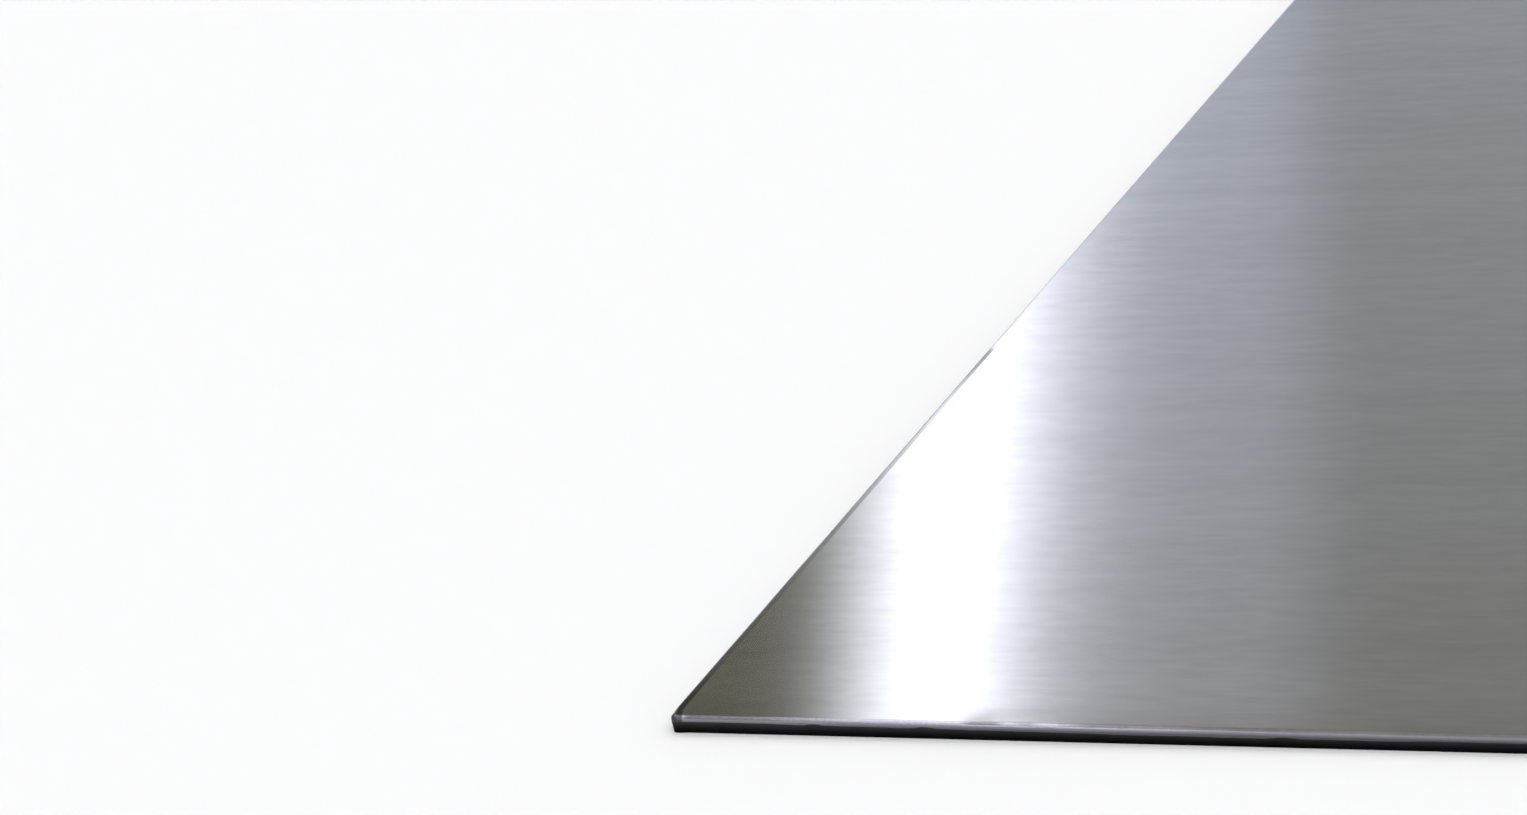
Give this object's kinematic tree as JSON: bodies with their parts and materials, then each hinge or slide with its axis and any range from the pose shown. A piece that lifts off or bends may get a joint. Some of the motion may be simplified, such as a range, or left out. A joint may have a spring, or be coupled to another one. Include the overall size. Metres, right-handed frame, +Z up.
{
  "type": "steel plate",
  "caption": "Flat rectangular steel plate with one brushed face, level grain and sheared edges, used as raw stock for cutting, bending or cladding.",
  "frame": {"origin": "middle of the underside, on the surface that the plate lies on", "axes": "+X along the length and the grain, +Y across the width, +Z up through the thickness and out of the brushed face"},
  "size_m": [0.6, 0.4, 0.003],
  "materials": {
    "brushed_steel": "ground in one direction along the length, with bare sheared edges and a dull rolled underside"
  },
  "bodies": {
    "root": {"plate": "brushed_steel"}
  },
  "joints": []
}
